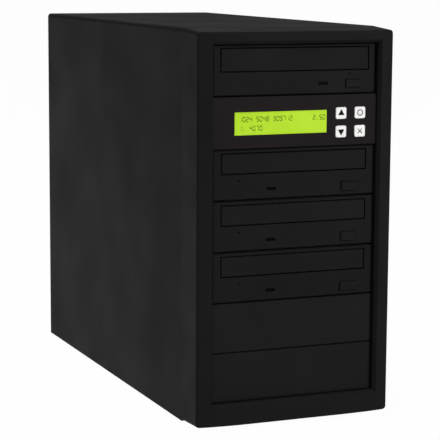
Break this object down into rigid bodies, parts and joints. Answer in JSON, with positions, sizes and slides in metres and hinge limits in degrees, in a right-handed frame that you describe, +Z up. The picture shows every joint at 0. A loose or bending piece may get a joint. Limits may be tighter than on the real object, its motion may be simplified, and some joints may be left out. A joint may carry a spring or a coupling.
{
  "type": "disc duplicator tower",
  "caption": "Upright steel tower with a moulded front frame, stacked disc drives with sliding trays, a lit character display with square keys, and flat covers on the spare bays.",
  "frame": {"origin": "on the floor under the middle of the whole object's box", "axes": "+Z up, -Y out of the front, +X to the right as seen from the front"},
  "size_m": [0.1764, 0.423, 0.3343],
  "materials": {
    "black_painted_steel": "fine powder coat, semi-matt",
    "black_moulded_plastic": "moulded ABS with a fine spark texture",
    "black_drive_plastic": "moulded ABS, fine satin texture",
    "blank_cover_plastic": "moulded ABS, satin",
    "panel_overlay": "printed polyester overlay, satin",
    "display_glass": "clear acrylic over a yellow-green backlight",
    "display_module": "pressed black frame on a board",
    "white_key_plastic": "moulded ABS, light satin",
    "smoked_lens": "smoked clear acrylic",
    "galvanised_steel": "galvanised sheet, spangled",
    "zinc_plated_steel": "bright zinc plate",
    "screw_steel": "nickel plate",
    "guard_wire": "bright nickel-plated wire",
    "fan_plastic": "glass-filled black plastic",
    "tray_plastic": "moulded ABS",
    "deck_plastic": "moulded black plastic",
    "spindle_plastic": "moulded acetal on a steel motor",
    "sled_metal": "die-cast zinc",
    "circuit_board": "solder resist over glass-epoxy",
    "socket_plastic": "moulded thermoplastic",
    "cable_red": "soft vinyl sheath",
    "cable_black": "braided and heat-shrunk sleeve",
    "foot_rubber": "moulded rubber"
  },
  "bodies": {
    "chassis": {"front_bezel": "black_moulded_plastic", "front_plate": "galvanised_steel", "base_pan": "galvanised_steel", "feet": "foot_rubber", "bay_cage": "galvanised_steel", "rear_panel": "galvanised_steel", "fan_frames": "fan_plastic", "fan_guards": "guard_wire", "psu_case": "galvanised_steel", "mains_inlet": "socket_plastic", "rocker_frame": "socket_plastic", "led_lenses": "smoked_lens", "blank_cover_upper": "blank_cover_plastic", "blank_cover_lower": "blank_cover_plastic", "control_panel": "panel_overlay", "lcd_glass": "display_glass", "lcd_module": "display_module", "keypad_board": "circuit_board", "controller_bracket": "galvanised_steel", "controller_board": "circuit_board", "machine_screws": "zinc_plated_steel", "data_cables": "cable_red", "power_harness": "cable_black", "reader_housing": "zinc_plated_steel", "reader_deck": "deck_plastic", "reader_face": "black_drive_plastic", "writer_1_housing": "zinc_plated_steel", "writer_1_deck": "deck_plastic", "writer_1_face": "black_drive_plastic", "writer_2_housing": "zinc_plated_steel", "writer_2_deck": "deck_plastic", "writer_2_face": "black_drive_plastic", "writer_3_housing": "zinc_plated_steel", "writer_3_deck": "deck_plastic", "writer_3_face": "black_drive_plastic"},
    "cover": {"wrap_cover": "black_painted_steel", "thumb_screws": "screw_steel"},
    "reader_tray": {"reader_tray": "tray_plastic"},
    "reader_eject_button": {"reader_eject_button": "black_drive_plastic"},
    "reader_spindle": {"reader_spindle": "spindle_plastic"},
    "reader_laser_sled": {"reader_laser_sled": "sled_metal"},
    "writer_1_tray": {"writer_1_tray": "tray_plastic"},
    "writer_1_eject_button": {"writer_1_eject_button": "black_drive_plastic"},
    "writer_1_spindle": {"writer_1_spindle": "spindle_plastic"},
    "writer_1_laser_sled": {"writer_1_laser_sled": "sled_metal"},
    "writer_2_tray": {"writer_2_tray": "tray_plastic"},
    "writer_2_eject_button": {"writer_2_eject_button": "black_drive_plastic"},
    "writer_2_spindle": {"writer_2_spindle": "spindle_plastic"},
    "writer_2_laser_sled": {"writer_2_laser_sled": "sled_metal"},
    "writer_3_tray": {"writer_3_tray": "tray_plastic"},
    "writer_3_eject_button": {"writer_3_eject_button": "black_drive_plastic"},
    "writer_3_spindle": {"writer_3_spindle": "spindle_plastic"},
    "writer_3_laser_sled": {"writer_3_laser_sled": "sled_metal"},
    "key_up": {"key_up": "white_key_plastic"},
    "key_down": {"key_down": "white_key_plastic"},
    "key_enter": {"key_enter": "white_key_plastic"},
    "key_escape": {"key_escape": "white_key_plastic"},
    "exhaust_fan_rotor": {"exhaust_fan_rotor": "fan_plastic"},
    "psu_fan_rotor": {"psu_fan_rotor": "fan_plastic"},
    "mains_rocker": {"mains_rocker": "socket_plastic"}
  },
  "joints": [
    {"name": "cover_slide", "type": "slide", "parent": "chassis", "child": "cover", "axis": [0, 1, 0], "range_m": [0, 0.38]},
    {"name": "reader_tray_slide", "type": "slide", "parent": "chassis", "child": "reader_tray", "axis": [0, -1, 0], "range_m": [0, 0.132]},
    {"name": "reader_eject_press", "type": "slide", "parent": "chassis", "child": "reader_eject_button", "axis": [0, 1, 0], "range_m": [0, 0.001], "stiffness_N_per_m": 1200},
    {"name": "reader_spindle_turn", "type": "hinge", "parent": "chassis", "child": "reader_spindle", "pos_m": [0, -0.135, 0.3004], "axis": [0, 0, 1], "continuous": true},
    {"name": "reader_sled_slide", "type": "slide", "parent": "chassis", "child": "reader_laser_sled", "axis": [0, 1, 0], "range_m": [0, 0.034]},
    {"name": "writer_1_tray_slide", "type": "slide", "parent": "chassis", "child": "writer_1_tray", "axis": [0, -1, 0], "range_m": [0, 0.132]},
    {"name": "writer_1_eject_press", "type": "slide", "parent": "chassis", "child": "writer_1_eject_button", "axis": [0, 1, 0], "range_m": [0, 0.001], "stiffness_N_per_m": 1200},
    {"name": "writer_1_spindle_turn", "type": "hinge", "parent": "chassis", "child": "writer_1_spindle", "pos_m": [0, -0.135, 0.2152], "axis": [0, 0, 1], "continuous": true},
    {"name": "writer_1_sled_slide", "type": "slide", "parent": "chassis", "child": "writer_1_laser_sled", "axis": [0, 1, 0], "range_m": [0, 0.034]},
    {"name": "writer_2_tray_slide", "type": "slide", "parent": "chassis", "child": "writer_2_tray", "axis": [0, -1, 0], "range_m": [0, 0.132]},
    {"name": "writer_2_eject_press", "type": "slide", "parent": "chassis", "child": "writer_2_eject_button", "axis": [0, 1, 0], "range_m": [0, 0.001], "stiffness_N_per_m": 1200},
    {"name": "writer_2_spindle_turn", "type": "hinge", "parent": "chassis", "child": "writer_2_spindle", "pos_m": [0, -0.135, 0.1726], "axis": [0, 0, 1], "continuous": true},
    {"name": "writer_2_sled_slide", "type": "slide", "parent": "chassis", "child": "writer_2_laser_sled", "axis": [0, 1, 0], "range_m": [0, 0.034]},
    {"name": "writer_3_tray_slide", "type": "slide", "parent": "chassis", "child": "writer_3_tray", "axis": [0, -1, 0], "range_m": [0, 0.132]},
    {"name": "writer_3_eject_press", "type": "slide", "parent": "chassis", "child": "writer_3_eject_button", "axis": [0, 1, 0], "range_m": [0, 0.001], "stiffness_N_per_m": 1200},
    {"name": "writer_3_spindle_turn", "type": "hinge", "parent": "chassis", "child": "writer_3_spindle", "pos_m": [0, -0.135, 0.13], "axis": [0, 0, 1], "continuous": true},
    {"name": "writer_3_sled_slide", "type": "slide", "parent": "chassis", "child": "writer_3_laser_sled", "axis": [0, 1, 0], "range_m": [0, 0.034]},
    {"name": "key_up_press", "type": "slide", "parent": "chassis", "child": "key_up", "axis": [0, 1, 0], "range_m": [0, 0.0008], "stiffness_N_per_m": 1500},
    {"name": "key_down_press", "type": "slide", "parent": "chassis", "child": "key_down", "axis": [0, 1, 0], "range_m": [0, 0.0008], "stiffness_N_per_m": 1500},
    {"name": "key_enter_press", "type": "slide", "parent": "chassis", "child": "key_enter", "axis": [0, 1, 0], "range_m": [0, 0.0008], "stiffness_N_per_m": 1500},
    {"name": "key_escape_press", "type": "slide", "parent": "chassis", "child": "key_escape", "axis": [0, 1, 0], "range_m": [0, 0.0008], "stiffness_N_per_m": 1500},
    {"name": "exhaust_fan_turn", "type": "hinge", "parent": "chassis", "child": "exhaust_fan_rotor", "pos_m": [0, 0.1972, 0.185], "axis": [0, 1, 0], "continuous": true},
    {"name": "psu_fan_turn", "type": "hinge", "parent": "chassis", "child": "psu_fan_rotor", "pos_m": [-0.023, 0.1962, 0.0493], "axis": [0, 1, 0], "continuous": true},
    {"name": "mains_rocker_tilt", "type": "hinge", "parent": "chassis", "child": "mains_rocker", "pos_m": [0.046, 0.1962, 0.0293], "axis": [1, 0, 0], "range_deg": [-12, 0]}
  ]
}
